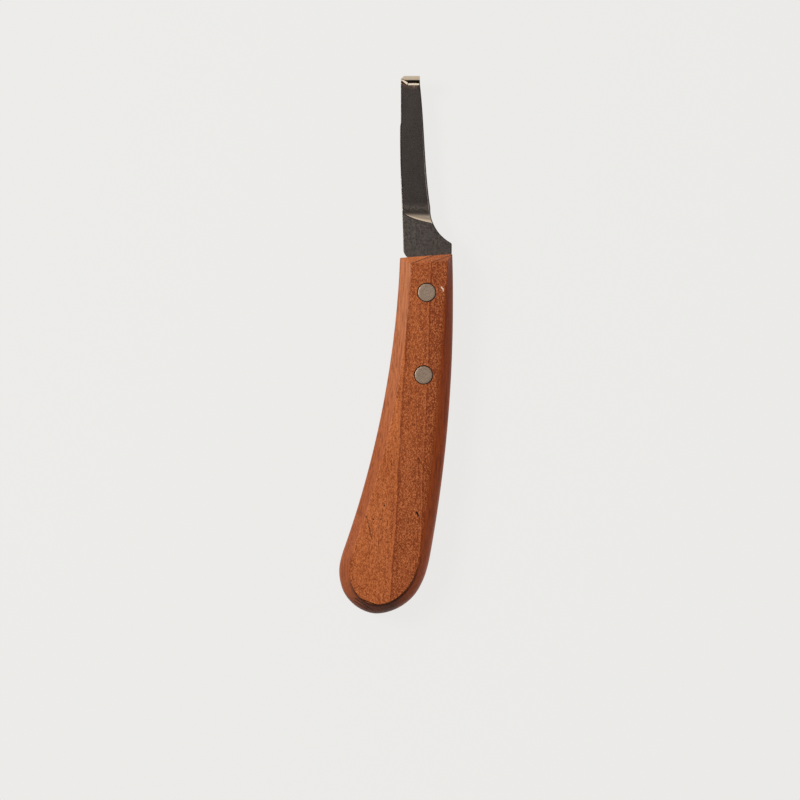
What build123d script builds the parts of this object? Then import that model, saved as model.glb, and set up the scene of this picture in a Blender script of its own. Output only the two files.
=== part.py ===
"""Farrier's hoof knife, left-handed pattern, in millimetres.

A forged steel blade curls into a small hook at its tip and runs back into a flat tang. The tang sits in a
kerf sawn into a one-piece curved wooden handle, and two cutler's rivets, each a stud driven into a sleeve,
clamp the wood on it. The knife lies on the handle's flat underside.

Frame: the origin is on that underside, midway between the rivets. +Y points to the hook, +X to the cutting
edge, and +Z to the side that the hook curls towards.
"""

import os
from math import cos, radians, sin, tan

from build123d import *

# Driving dimensions
OVERALL_LENGTH = 210.0
BLADE_REACH = 70.5  # from the handle's front end to the outside of the hook
HANDLE_THICKNESS = 19.0
BLADE_THICKNESS = 3.0
RIVET_PITCH = 32.0

# Stations along the knife and through its thickness
TIP_Y = 101.0
FRONT_Y = TIP_Y - BLADE_REACH
BUTT_Y = TIP_Y - OVERALL_LENGTH
MID_Z = HANDLE_THICKNESS / 2
BACK_Z = MID_Z - BLADE_THICKNESS / 2  # the blade's flat back
FACE_Z = MID_Z + BLADE_THICKNESS / 2  # its unground face

# Handle's outer outline and the outline of its flat faces, seen from above. The hollow side and the round side
# are arcs, each given by its front end, a point on it and its rear end, and the butt is a curve between them.
BODY_HOLLOW_SIDE = [(-9.8, FRONT_Y - 0.8), (-17.4, -32.6), (-31.6, -83.5)]
BODY_BUTT = [
    (-33.5, -93.0),
    (-31.4, -101.1),
    (-26.0, -106.7),
    (-18.9, BUTT_Y),
    (-10.9, -107.0),
    (-4.6, -102.3),
    (-0.7, -95.8),
    (1.35, -89.3),
]
BODY_ROUND_SIDE = [(10.6, FRONT_Y + 0.7), (9.6, -25.7), (2.3, -84.5)]
FLAT_HOLLOW_SIDE = [(-5.6, FRONT_Y - 3.3), (-13.4, -34.5), (-27.6, -82.5)]
FLAT_BUTT = [
    (-29.6, -91.9),
    (-27.4, -99.8),
    (-21.8, -104.7),
    (-15.0, -104.7),
    (-9.4, -101.5),
    (-5.2, -96.6),
    (-2.9, -90.2),
]
FLAT_ROUND_SIDE = [(8.8, FRONT_Y - 2.2), (5.0, -26.0), (-1.6, -84.0)]
FACET_DEPTH = 4.4  # the sloping flats worked round both faces

# Kerf and tang
KERF_CLEARANCE = 0.02
SAW_RADIUS = 90.0
SAW_CENTRE_X = -2.0
TANG_LEFT_X = -6.4
TANG_END = [(TANG_LEFT_X, -20.5), (-1.2, -27.0), (5.0, -21.5)]
TANG_WAIST = (10.2, 10.0)
KERF_END_Y = -28.5

# Blade outline, seen from above; the blade is rolled into its hook from HOOK_Y on
HOOK_RADIUS = 2.7
HOOK_Y = TIP_Y - HOOK_RADIUS
SPINE_TIP_X = -9.45
EDGE_TIP_X = -2.0
EDGE_CURVE = [(-1.4, 92.5), (-0.1, 73.0)]
EDGE_HEEL = (2.1, 49.5)
CHOIL_MIDDLE = (4.45, 41.0)  # on the hollow between the cutting edge and the ricasso
CHOIL_HEEL = (10.45, 35.6)
CHOIL_HEEL_RADIUS = 0.7
SPINE_STEP = [(-9.45, 83.0), (-9.75, 81.0)]  # the rolled length is a little narrower than the rest
SPINE_CURVE = [(-9.6, 66.0), (-8.7, 42.0)]
SHOULDER = (-8.45, 33.2)
SHOULDER_RADIUS = 3.6  # rounds the heel of the spine into the tang

# Hook, wedge-shaped across like the blade
HOOK_ARM = 1.2  # straight length past the roll
HOOK_Z = BACK_Z + HOOK_RADIUS
HOOK_CORNER = (2.6, 2.1)  # cut off the arm's spine-side corner, along X and Y
ROLL_CORNER = (1.3, 1.5)  # cut off the roll's spine-side corner, along X and Y
LIP_BEVEL = (0.86, 0.48)  # sharpened end of the arm, along Y and Z

# Grinding: a shallow wedge from the spine to the edge, started by a wheel, and a narrow bevel along the edge
WHEEL_RADIUS = 9.0
EDGE_THICKNESS = 0.45
PLUNGE_Y = 49.4  # the wheel's deepest line; the ricasso's face starts nearer the handle
PLUNGE_SPINE = (-9.1, 2.85)
PLUNGE_SLOPE = 10.0
PLUNGE_EDGE_X = 2.1
PLUNGE_BEVEL = 0.7
TIP_SPINE_THICKNESS = 1.5
TIP_SLOPE = 6.0
TIP_BEVEL = 0.4

# Rivets
RIVET_DRIFT = 0.6  # the pair follows the handle's curve, off the Y axis by this much each way
HEAD_DIAMETER = 7.0
HEAD_THICKNESS = 1.5
HEAD_CHAMFER = 0.35
HEAD_RECESS = 0.15
SLEEVE_DIAMETER = 4.8
SLEEVE_LENGTH = 12.5
STUD_DIAMETER = 3.4
STUD_LENGTH = 12.0
STUD_POINT = 0.4
PRESS_CLEARANCE = 0.01
SLEEVE_BORE_DEPTH = 9.5
COUNTERBORE_DIAMETER = 7.4
WOOD_HOLE_DIAMETER = 5.0
TANG_HOLE_DIAMETER = 5.2

RIVETS = {
    "front": (RIVET_DRIFT, RIVET_PITCH / 2),
    "rear": (-RIVET_DRIFT, -RIVET_PITCH / 2),
}


def handle_outline(hollow_side, butt, round_side):
    """One level of the handle, used inside BuildLine."""
    Line(round_side[0], hollow_side[0])
    back = ThreePointArc(*hollow_side)
    front = ThreePointArc(*reversed(round_side))
    Spline(back @ 1, *butt, front @ 0, tangents=[back % 1, front % 0], tangent_scalars=[1, 1])


def ground_height(x, spine_x, spine_thickness, slope):
    """Height of the ground face above the frame's floor at one place across the blade."""
    return BACK_Z + spine_thickness - (x - spine_x) * tan(radians(slope))


def waste_outline(spine_x, spine_thickness, slope, edge_x, bevel):
    """What grinding takes off the face at one station, in X and Z. Used inside BuildLine."""
    outside_x = spine_x - 4
    bevel_x = edge_x - bevel
    bevel_z = ground_height(bevel_x, spine_x, spine_thickness, slope)
    edge_z = BACK_Z + EDGE_THICKNESS
    run_out_z = edge_z - (bevel_z - edge_z) / bevel
    Polyline(
        (outside_x, ground_height(outside_x, spine_x, spine_thickness, slope)),
        (bevel_x, bevel_z),
        (edge_x + 1, run_out_z),
        (edge_x + 1, FACE_Z + 2),
        (outside_x, FACE_Z + 2),
        close=True,
    )


# Handle: one piece of wood, with flats worked round both faces, a saw kerf and the rivet holes
with BuildPart() as handle:
    with BuildSketch(Plane.XY.offset(FACET_DEPTH)):
        with BuildLine():
            handle_outline(BODY_HOLLOW_SIDE, BODY_BUTT, BODY_ROUND_SIDE)
        make_face()
    extrude(amount=HANDLE_THICKNESS - 2 * FACET_DEPTH)
    for flat_z, shoulder_z in ((0, FACET_DEPTH), (HANDLE_THICKNESS, HANDLE_THICKNESS - FACET_DEPTH)):
        with BuildSketch(Plane.XY.offset(shoulder_z)):
            with BuildLine():
                handle_outline(BODY_HOLLOW_SIDE, BODY_BUTT, BODY_ROUND_SIDE)
            make_face()
        with BuildSketch(Plane.XY.offset(flat_z)):
            with BuildLine():
                handle_outline(FLAT_HOLLOW_SIDE, FLAT_BUTT, FLAT_ROUND_SIDE)
            make_face()
        loft(ruled=True)
    with Locations((SAW_CENTRE_X, KERF_END_Y + SAW_RADIUS, MID_Z)):
        Cylinder(SAW_RADIUS, BLADE_THICKNESS + 2 * KERF_CLEARANCE, mode=Mode.SUBTRACT)
    with Locations([(x, y, MID_Z) for x, y in RIVETS.values()]):
        Cylinder(WOOD_HOLE_DIAMETER / 2, HANDLE_THICKNESS + 1, mode=Mode.SUBTRACT)
    seat_depth = HEAD_RECESS + HEAD_THICKNESS
    for seat_z in (seat_depth / 2, HANDLE_THICKNESS - seat_depth / 2):
        with Locations([(x, y, seat_z) for x, y in RIVETS.values()]):
            Cylinder(COUNTERBORE_DIAMETER / 2, seat_depth, mode=Mode.SUBTRACT)

# Blade: plate outline with the tang, ground face, then the rolled hook
with BuildPart() as blade:
    with BuildSketch(Plane.XY.offset(BACK_Z)):
        with BuildLine():
            Line((EDGE_TIP_X, HOOK_Y), (SPINE_TIP_X, HOOK_Y))
            Polyline((SPINE_TIP_X, HOOK_Y), *SPINE_STEP)
            Spline(SPINE_STEP[1], *SPINE_CURVE, SHOULDER)
            shoulder_drop = (SHOULDER_RADIUS**2 - (SHOULDER[0] + SHOULDER_RADIUS - TANG_LEFT_X) ** 2) ** 0.5
            tang_start = (TANG_LEFT_X, SHOULDER[1] - shoulder_drop)
            RadiusArc(SHOULDER, tang_start, -SHOULDER_RADIUS)
            Line(tang_start, TANG_END[0])
            ThreePointArc(*TANG_END)
            Line(TANG_END[2], TANG_WAIST)
            Line(TANG_WAIST, CHOIL_HEEL)
            ThreePointArc(CHOIL_HEEL, CHOIL_MIDDLE, EDGE_HEEL)
            Spline(EDGE_HEEL, *reversed(EDGE_CURVE), (EDGE_TIP_X, HOOK_Y))
        make_face()
    extrude(amount=BLADE_THICKNESS)
    fillet(blade.edges().filter_by(Axis.Z).sort_by_distance((*CHOIL_HEEL, MID_Z))[0], CHOIL_HEEL_RADIUS)

    with BuildSketch(Plane.XZ.offset(-PLUNGE_Y)):
        with BuildLine():
            waste_outline(*PLUNGE_SPINE, PLUNGE_SLOPE, PLUNGE_EDGE_X, PLUNGE_BEVEL)
        make_face()
    with BuildSketch(Plane.XZ.offset(-HOOK_Y)):
        with BuildLine():
            waste_outline(SPINE_TIP_X, TIP_SPINE_THICKNESS, TIP_SLOPE, EDGE_TIP_X, TIP_BEVEL)
        make_face()
    loft(ruled=True, mode=Mode.SUBTRACT)

    # The wheel leaves a hollow where the grinding starts, both under the face and under the bevel
    bevel_x = PLUNGE_EDGE_X - PLUNGE_BEVEL
    bevel_z = ground_height(bevel_x, *PLUNGE_SPINE, PLUNGE_SLOPE)
    bevel_slope = (bevel_z - BACK_Z - EDGE_THICKNESS) / PLUNGE_BEVEL
    bevel_angle = Vector(1, bevel_slope).get_angle(Vector(1, 0))
    for angle in (PLUNGE_SLOPE, bevel_angle):
        wheel_x = bevel_x + WHEEL_RADIUS * sin(radians(angle))
        wheel_z = bevel_z + WHEEL_RADIUS * cos(radians(angle))
        with Locations(Location((wheel_x, PLUNGE_Y, wheel_z), (0, 90 + angle, 0))):
            Cylinder(WHEEL_RADIUS, 40, mode=Mode.SUBTRACT)

    with Locations([(x, y, MID_Z) for x, y in RIVETS.values()]):
        Cylinder(TANG_HOLE_DIAMETER / 2, BLADE_THICKNESS + 1, mode=Mode.SUBTRACT)

    tip_width = EDGE_TIP_X - SPINE_TIP_X
    edge_tip_thickness = TIP_SPINE_THICKNESS - (tip_width - TIP_BEVEL) * tan(radians(TIP_SLOPE))
    with BuildSketch(Plane.XZ.offset(-HOOK_Y)) as root:
        with BuildLine():
            Polyline(
                (SPINE_TIP_X, BACK_Z),
                (EDGE_TIP_X, BACK_Z),
                (EDGE_TIP_X, BACK_Z + EDGE_THICKNESS),
                (EDGE_TIP_X - TIP_BEVEL, BACK_Z + edge_tip_thickness),
                (SPINE_TIP_X, BACK_Z + TIP_SPINE_THICKNESS),
                close=True,
            )
        make_face()
    revolve(axis=Axis((0, HOOK_Y, HOOK_Z), (1, 0, 0)), revolution_arc=180)
    with BuildSketch(Plane.XZ.offset(-HOOK_Y)):
        add(mirror(root.sketch, Plane.XY.offset(HOOK_Z)))
    extrude(amount=HOOK_ARM)

    arm_end = HOOK_Y - HOOK_ARM
    arm_top = HOOK_Z + HOOK_RADIUS
    with BuildSketch(Plane.XY.offset(HOOK_Z)):
        with BuildLine():
            Polyline(
                (SPINE_TIP_X - 1, arm_end - 1),
                (SPINE_TIP_X + HOOK_CORNER[0] * (1 + 1 / HOOK_CORNER[1]), arm_end - 1),
                (SPINE_TIP_X - 1, arm_end + HOOK_CORNER[1] * (1 + 1 / HOOK_CORNER[0])),
                close=True,
            )
        make_face()
    extrude(amount=HOOK_RADIUS + 1, mode=Mode.SUBTRACT)
    with BuildSketch(Plane.XY.offset(BACK_Z - 1)):
        with BuildLine():
            Polyline(
                (SPINE_TIP_X - 1, TIP_Y - ROLL_CORNER[1] * (1 + 1 / ROLL_CORNER[0])),
                (SPINE_TIP_X + ROLL_CORNER[0] * (1 + 1 / ROLL_CORNER[1]), TIP_Y + 1),
                (SPINE_TIP_X - 1, TIP_Y + 1),
                close=True,
            )
        make_face()
    extrude(amount=2 * HOOK_RADIUS + 2, mode=Mode.SUBTRACT)
    lip_slope = LIP_BEVEL[1] / LIP_BEVEL[0]
    with BuildSketch(Plane.YZ):
        with BuildLine():
            Polyline(
                (arm_end - 1, arm_top - LIP_BEVEL[1] - lip_slope),
                (arm_end + LIP_BEVEL[0] + 1, arm_top + lip_slope),
                (arm_end - 1, arm_top + lip_slope),
                close=True,
            )
        make_face()
    extrude(amount=BLADE_REACH, both=True, mode=Mode.SUBTRACT)

# Rivets: each has a stud from above, driven into a sleeve from below
pieces = {"handle": handle, "blade": blade}
for place, (x, y) in RIVETS.items():
    with BuildPart() as stud:
        head_top = HANDLE_THICKNESS - HEAD_RECESS
        with BuildSketch(Plane.XY.offset(head_top)):
            with Locations((x, y)):
                Circle(HEAD_DIAMETER / 2)
        extrude(amount=-HEAD_THICKNESS)
        chamfer(stud.edges().group_by(Axis.Z)[-1], HEAD_CHAMFER)
        with BuildSketch(Plane.XY.offset(head_top - HEAD_THICKNESS)):
            with Locations((x, y)):
                Circle(STUD_DIAMETER / 2)
        extrude(amount=-STUD_LENGTH)
        chamfer(stud.edges().group_by(Axis.Z)[0], STUD_POINT)
    pieces[f"{place}_rivet_stud"] = stud

    with BuildPart() as sleeve:
        with BuildSketch(Plane.XY.offset(HEAD_RECESS)):
            with Locations((x, y)):
                Circle(HEAD_DIAMETER / 2)
        extrude(amount=HEAD_THICKNESS)
        chamfer(sleeve.edges().group_by(Axis.Z)[0], HEAD_CHAMFER)
        sleeve_top = HEAD_RECESS + HEAD_THICKNESS + SLEEVE_LENGTH
        with BuildSketch(Plane.XY.offset(sleeve_top)):
            with Locations((x, y)):
                Circle(SLEEVE_DIAMETER / 2)
        extrude(amount=-SLEEVE_LENGTH)
        with BuildSketch(Plane.XY.offset(sleeve_top)):
            with Locations((x, y)):
                Circle(STUD_DIAMETER / 2 + PRESS_CLEARANCE)
        extrude(amount=-SLEEVE_BORE_DEPTH, mode=Mode.SUBTRACT)
    pieces[f"{place}_rivet_sleeve"] = sleeve

os.makedirs("parts", exist_ok=True)
for name, piece in pieces.items():
    piece.part.label = name
    export_step(piece.part, f"parts/{name}.step")
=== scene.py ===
"""Look model of a farrier's hoof knife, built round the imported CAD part.

Shapes and places are worked out in millimetres. +Y points to the hook, +X to the cutting edge and +Z up.
"""

import math

import bmesh
import bpy
import numpy as np
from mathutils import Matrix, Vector


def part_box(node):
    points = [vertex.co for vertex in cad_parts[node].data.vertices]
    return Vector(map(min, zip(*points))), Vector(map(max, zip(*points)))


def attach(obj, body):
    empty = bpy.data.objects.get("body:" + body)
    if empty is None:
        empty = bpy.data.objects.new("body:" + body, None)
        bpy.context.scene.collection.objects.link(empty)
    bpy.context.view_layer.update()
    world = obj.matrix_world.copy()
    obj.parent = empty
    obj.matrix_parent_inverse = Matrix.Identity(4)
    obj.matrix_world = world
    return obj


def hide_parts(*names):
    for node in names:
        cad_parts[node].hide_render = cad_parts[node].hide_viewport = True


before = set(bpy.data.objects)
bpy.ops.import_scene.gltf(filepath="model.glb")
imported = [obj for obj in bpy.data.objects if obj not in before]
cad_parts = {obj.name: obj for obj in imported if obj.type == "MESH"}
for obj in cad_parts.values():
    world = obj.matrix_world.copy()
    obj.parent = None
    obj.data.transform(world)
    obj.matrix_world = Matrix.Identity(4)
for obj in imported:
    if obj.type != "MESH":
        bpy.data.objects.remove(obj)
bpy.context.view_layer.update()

MM = 0.001


def box_mm(node):
    """Lowest and highest corner of a CAD node, in millimetres."""
    low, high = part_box(node)
    return [value / MM for value in low], [value / MM for value in high]


# Driving dimensions, read from the frame
(_, BUTT_Y, FLOOR_Z), (_, _, HANDLE_TOP) = box_mm("handle")
(_, _, BACK_Z), (_, TIP_Y, _) = box_mm("blade")
MID_Z = (FLOOR_Z + HANDLE_TOP) / 2
BLADE_THICKNESS = 2 * (MID_Z - BACK_Z)
FACE_Z = BACK_Z + BLADE_THICKNESS
BLADE_REACH = 70.5
FRONT_Y = TIP_Y - BLADE_REACH

# Handle outline from above, for the body and for its flat faces: an arc for each side, a curve round the butt
BODY_HOLLOW_SIDE = [(-9.8, FRONT_Y - 0.8), (-17.4, -32.6), (-31.6, -83.5)]
BODY_ROUND_SIDE = [(10.6, FRONT_Y + 0.7), (9.6, -25.7), (2.3, -84.5)]
BODY_BUTT_LEFT = [(-33.5, -93.0), (-31.4, -101.1), (-26.0, -106.7), (-18.9, BUTT_Y)]
BODY_BUTT_RIGHT = [(1.35, -89.3), (-0.7, -95.8), (-4.6, -102.3), (-10.9, -107.0), (-18.9, BUTT_Y)]
FLAT_HOLLOW_SIDE = [(-5.6, FRONT_Y - 3.3), (-13.4, -34.5), (-27.6, -82.5)]
FLAT_ROUND_SIDE = [(8.8, FRONT_Y - 2.2), (5.0, -26.0), (-1.6, -84.0)]
FLAT_BUTT_LEFT = [(-29.6, -91.9), (-27.4, -99.8), (-21.8, -104.7), (-18.4, BUTT_Y + 3.8)]
FLAT_BUTT_RIGHT = [(-2.9, -90.2), (-5.2, -96.6), (-9.4, -101.5), (-15.0, -104.7), (-18.4, BUTT_Y + 3.8)]
FACET_DEPTH = 4.4
SANDING = 0.02  # taken off all round the outline

# Spacing of the outline's points, which are close together near the two front corners
CORNER_SPAN = 1.2
CORNER_STEP = 0.12
SIDE_LENGTH = 115.0
FRONT_WIDTH = 20.0
SIDE_ROWS = 240
BUTT_ROWS = 70
END_COLUMNS = 44
EASE_ROWS = 60  # rows of a flat face over which its points become evenly spaced

# Rounding of the facet's outer and inner corner, and where each kind of wear sets in
FRONT_ROUNDING = 0.5
OUTER_ROUNDING, INNER_ROUNDING = 1.3, 0.5
OUTER_RIDGE_WEAR, INNER_RIDGE_WEAR = 3.7, 3.9
BUTT_WEAR = 3.5
RIDGE_WEAR_Y = (12, 27)
RIDGE_WEAR_ROWS = (-40, 10)  # counted from the bottom of the butt
INNER_LOSS_AT_BUTT = 0.8
BUTT_WEAR_Y = (-95, -35)
OUTER_CUT_LIMIT, INNER_CUT_LIMIT = 0.62, 0.34  # largest shares of the facet that the rounding takes
FACET_WAVE, FACET_WAVE_LENGTH = 0.13, 31  # unevenness of the facet's width

# Points of the facet's section, from the middle of the side to the flat face
SIDE_SHARES = (0.0, 0.35, 0.7)
OUTER_STEPS = 9
SLOPE_SHARES = (0.25, 0.5, 0.75)
INNER_STEPS = 6

# Painted shade in the facet's inner corner, by step of the section, and where it lies round the butt and on the
# right side
CREASE_SHADE_BY_STEP = [0.0] * 14 + [0.35, 1.0, 1.0, 1.0, 1.0, 0.7, 0.0]
BUTT_SHADE_Y = (-104, -95)
RIGHT_SHADE, RIGHT_SHADE_X, RIGHT_SHADE_Y = 0.8, (-16, -8), (-99, -86)

# Kerf and tang
KERF_CLEARANCE = 0.02
SAW_RADIUS = 90.0
SAW_CENTRE = (-2.0, 61.5)
TANG_LEFT_X = -6.4
TANG_END = [(TANG_LEFT_X, -20.5), (-1.2, -27.0), (5.0, -21.5)]
TANG_WAIST = (10.2, 10.0)
TANG_HOLE_RADIUS = 2.6

# Rivets, and their holes in the wood
RIVETS = ("front", "rear")
HEAD_RADIUS = 3.5
HEAD_THICKNESS = 1.5
HEAD_RECESS = 0.15
HEAD_DISH = 0.03
HEAD_ROUNDING = 0.32
HEAD_ROUND_STEPS = 6
SEAT_RADIUS = 3.7
SEAT_LIP = 0.12
SEAT_OVERCUT = 0.5
WOOD_HOLE_RADIUS = 2.5
SHANK_RADIUS = 1.7
SHANK_CHAMFER = 0.4
SLEEVE_RADIUS = 2.4
SLEEVE_BORE_DEPTH = 9.5
SLEEVE_CLEARANCE = 0.01

# Blade outline, seen from above
HOOK_RADIUS = 2.7
HOOK_Y = TIP_Y - HOOK_RADIUS
HOOK_Z = BACK_Z + HOOK_RADIUS
SPINE_TIP_X = -9.45
EDGE_TIP_X = -2.0
SPINE_STEP = [(-9.75, 81.0), (-9.45, 83.0)]
SPINE_CURVE = [(-8.45, 33.2), (-8.7, 42.0), (-9.6, 66.0), (-9.75, 81.0)]
SHOULDER_RADIUS = 3.6
EDGE_CURVE = [(2.1, 49.5), (-0.1, 73.0), (-1.4, 92.5), (EDGE_TIP_X, HOOK_Y)]
CHOIL = [(2.1, 49.5), (4.45, 41.0), (10.45, 35.6)]
CHOIL_HEEL_BLEND = 0.9

# Hook
HOOK_ARM = 1.2
ARM_END = HOOK_Y - HOOK_ARM
HOOK_CORNER = (2.6, 2.1)
ROLL_CORNER = (1.3, 1.5)
LIP_BEVEL = (0.86, 0.48)

# Grinding
WHEEL_RADIUS = 9.0
EDGE_THICKNESS = 0.45
PLUNGE_Y = 49.4
PLUNGE_SPINE = (-9.1, 2.85)
PLUNGE_SLOPE = 10.0
TIP_SPINE_THICKNESS = 1.5
TIP_SLOPE = 6.0
BEVEL_WIDTH = (0.7, 0.4)
EDGE_ROUNDING = 0.22
HOLLOW_FADE_Y = 47.6  # the wheel's polish ends here
EDGE_SCALE_Y = (98, 98.8)  # the edges' dark scale fades out here

# Sections of the blade
FACE_COLUMNS = 42
BEVEL_COLUMNS = 12
ROUND_STEPS = 4
ROUNDING_LIMITS = (0.3, 0.2)  # largest shares of the depth and the width that a long corner's rounding takes
CREASE_MARGINS = (0.5, 0.1)  # least distances of the crease from the spine and from the edge
TANG_TIP_STEPS = [0.002, 0.05, 0.2, 0.5, 1.0, 1.8, 2.8, 4.0, 5.3, 6.8]  # from the tang's end
TANG_SIDE_Y = -18.0
RICASSO_Y = FRONT_Y - 1.0
PAST_PLUNGE_Y = 52.0
TANG_ROWS, RICASSO_ROWS, PLUNGE_ROWS, BLADE_ROWS, ROLL_ROWS, ARM_ROWS = 30, 110, 70, 130, 61, 9
PLUNGE_CROWDING = 1.3

# How dark the steel is: rolling scale left along the edges and on the ricasso, painted shade behind the wheel
# mark's line, and painted shade in the mark where its reflection dims
EDGE_SCALE, SHOULDER_SHADE, FORGED_SCALE, HOLLOW_SHADE = 0.9, 0.9, 0.6, (0.5, 0.25)

# Angle in degrees past which an edge is shaded as sharp
HANDLE_SHARP, RIVET_SHARP, BLADE_SHARP = 28, 40, 24


# ---- curves and meshes

CURVE_STEPS = 40  # points between two knots of a smooth curve
JOIN_DISTANCE, NO_LENGTH = 1e-7, 1e-8  # in metres


def circle_through(a, b, c):
    """Centre and radius of the circle through three points of the plane."""
    (ax, ay), (bx, by), (cx, cy) = a, b, c
    d = 2 * (ax * (by - cy) + bx * (cy - ay) + cx * (ay - by))
    a2, b2, c2 = ax * ax + ay * ay, bx * bx + by * by, cx * cx + cy * cy
    x = (a2 * (by - cy) + b2 * (cy - ay) + c2 * (ay - by)) / d
    y = (a2 * (cx - bx) + b2 * (ax - cx) + c2 * (bx - ax)) / d
    return (x, y), math.hypot(ax - x, ay - y)


def arc_at(points, shares):
    """Places on the arc through three points, at shares of its length from the first to the last."""
    (x, y), radius = circle_through(*points)
    start, middle, end = (math.atan2(p[1] - y, p[0] - x) for p in points)
    turn = (end - start) % (2 * math.pi)
    if (middle - start) % (2 * math.pi) > turn:
        turn -= 2 * math.pi
    angles = start + turn * np.asarray(shares)
    return np.stack([x + radius * np.cos(angles), y + radius * np.sin(angles)], 1)


def arc_end_direction(points):
    """Unit direction in which the arc through three points arrives at its last one."""
    ahead = arc_at(points, [0.999, 1.0])
    step = ahead[1] - ahead[0]
    return step / np.linalg.norm(step)


def curve_at(points, start_direction, end_direction, shares):
    """Places on a smooth curve through the points, at shares of its length."""
    knots = np.array(points, float)
    gaps = np.linalg.norm(np.diff(knots, axis=0), axis=1)
    slopes = np.diff(knots, axis=0) / gaps[:, None]
    inner = (gaps[1:, None] * slopes[:-1] + gaps[:-1, None] * slopes[1:]) / (gaps[1:] + gaps[:-1])[:, None]
    tangents = np.vstack([start_direction, inner, end_direction])
    t = np.linspace(0, 1, CURVE_STEPS)[:, None]
    dense = []
    for i, gap in enumerate(gaps):
        dense.append(
            (2 * t**3 - 3 * t**2 + 1) * knots[i]
            + (t**3 - 2 * t**2 + t) * gap * tangents[i]
            + (3 * t**2 - 2 * t**3) * knots[i + 1]
            + (t**3 - t**2) * gap * tangents[i + 1]
        )
    dense = np.vstack(dense)
    length = np.concatenate([[0], np.cumsum(np.linalg.norm(np.diff(dense, axis=0), axis=1))])
    wanted = np.asarray(shares) * length[-1]
    return np.stack([np.interp(wanted, length, dense[:, k]) for k in (0, 1)], 1)


def smoothstep(value, low, high):
    """0 below low, 1 above high, and smooth between them."""
    t = np.clip((value - low) / (high - low), 0, 1)
    return t * t * (3 - 2 * t)


def wobble(position, wavelength, phase):
    """A slow, irregular wave between about -1 and 1, the same on every run."""
    a = 2 * math.pi * position / wavelength
    return (np.sin(a + phase) + 0.6 * np.sin(2.3 * a + 2 * phase) + 0.4 * np.sin(4.1 * a + 5 * phase)) / 2


def build_mesh(name, points, faces, attributes=None):
    """A mesh object from millimetre points, with doubled points joined and its faces turned outwards."""
    mesh = bpy.data.meshes.new(name)
    mesh.from_pydata((np.asarray(points) * MM).tolist(), [], faces)
    for key, values in (attributes or {}).items():
        layer = mesh.attributes.new(key, "FLOAT", "POINT")
        layer.data.foreach_set("value", np.asarray(values, np.float32))
    work = bmesh.new()
    work.from_mesh(mesh)
    bmesh.ops.remove_doubles(work, verts=work.verts, dist=JOIN_DISTANCE)
    bmesh.ops.dissolve_degenerate(work, edges=work.edges, dist=NO_LENGTH)
    bmesh.ops.recalc_face_normals(work, faces=work.faces)
    work.to_mesh(mesh)
    work.free()
    piece = bpy.data.objects.new(name, mesh)
    bpy.context.scene.collection.objects.link(piece)
    return piece


def skin(loop_count, size):
    """Faces between successive closed loops of size points each."""
    faces = []
    for i in range(loop_count - 1):
        for k in range(size):
            n = (k + 1) % size
            faces.append((i * size + k, i * size + n, (i + 1) * size + n, (i + 1) * size + k))
    return faces


def lathe(name, profile, centre, steps=72):
    """A closed solid turned from (radius, height) points about the vertical line through centre."""
    points = []
    for radius, height in profile:
        for k in range(steps):
            angle = 2 * math.pi * k / steps
            points.append((centre[0] + radius * math.cos(angle), centre[1] + radius * math.sin(angle), height))
    return build_mesh(name, points, skin(len(profile), steps))


def cut_away(piece, cutters):
    """Takes the cutters out of the piece and deletes them."""
    for cutter in cutters:
        step = piece.modifiers.new("cut", "BOOLEAN")
        step.operation = "DIFFERENCE"
        step.solver = "EXACT"
        step.object = cutter
    graph = bpy.context.evaluated_depsgraph_get()
    finished = bpy.data.meshes.new_from_object(piece.evaluated_get(graph), depsgraph=graph)
    piece.modifiers.clear()
    piece.data = finished
    for cutter in cutters:
        bpy.data.objects.remove(cutter)


def shade(piece, sharp_angle):
    """Smooth shading, apart from edges sharper than an angle in degrees."""
    piece.data.shade_smooth()
    piece.data.set_sharp_from_angle(angle=math.radians(sharp_angle))


# ---- handle


def fine_steps():
    """Distances from a front corner at which the outline's points are close together."""
    return np.arange(0, CORNER_SPAN, CORNER_STEP)


def side_path(side, butt):
    """One side of a handle outline, from the front corner to the bottom of the butt."""
    shares = np.concatenate([fine_steps(), np.linspace(CORNER_SPAN, SIDE_LENGTH, SIDE_ROWS)]) / SIDE_LENGTH
    flank = arc_at(side, shares)
    inward = (1, 0) if butt[0][0] < butt[-1][0] else (-1, 0)
    rear = curve_at([side[-1], *butt], arc_end_direction(side), inward, np.linspace(0, 1, BUTT_ROWS)[1:])
    return np.vstack([flank, rear])


def across(start, end):
    """Places along the front end, closer together near its corners."""
    fine, near = fine_steps() / FRONT_WIDTH, CORNER_SPAN / FRONT_WIDTH
    shares = np.concatenate([fine, np.linspace(near, 1 - near, END_COLUMNS), 1 - fine[::-1]])
    return start + (end - start) * shares[:, None]


def rim(hollow_side, hollow_butt, round_side, round_butt):
    """A closed outline, down the hollow side, up the round side and back across the front.

    Also gives its number of points down one side and across the front.
    """
    left = side_path(hollow_side, hollow_butt)
    right = side_path(round_side, round_butt)
    front = across(left[0], right[0])
    return np.vstack([left, right[-2::-1], front[-2:0:-1]]), len(left), len(front)


def soften_corners(outline, corners, reach=8, passes=10):
    """Rounds the outline a little at its two front corners."""
    count = len(outline)
    near = np.zeros(count, bool)
    for corner in corners:
        near[(np.arange(corner - reach, corner + reach + 1)) % count] = True
    for _ in range(passes):
        mean = (np.roll(outline, 1, 0) + np.roll(outline, -1, 0)) / 2
        outline = np.where(near[:, None], (outline + mean) / 2, outline)
    return outline


def bend(start, corner, end, count):
    """Points that round a corner from start to end, both ends included."""
    t = np.linspace(0, 1, count)
    return [(1 - s) ** 2 * start + 2 * s * (1 - s) * corner + s**2 * end for s in t]


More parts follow.
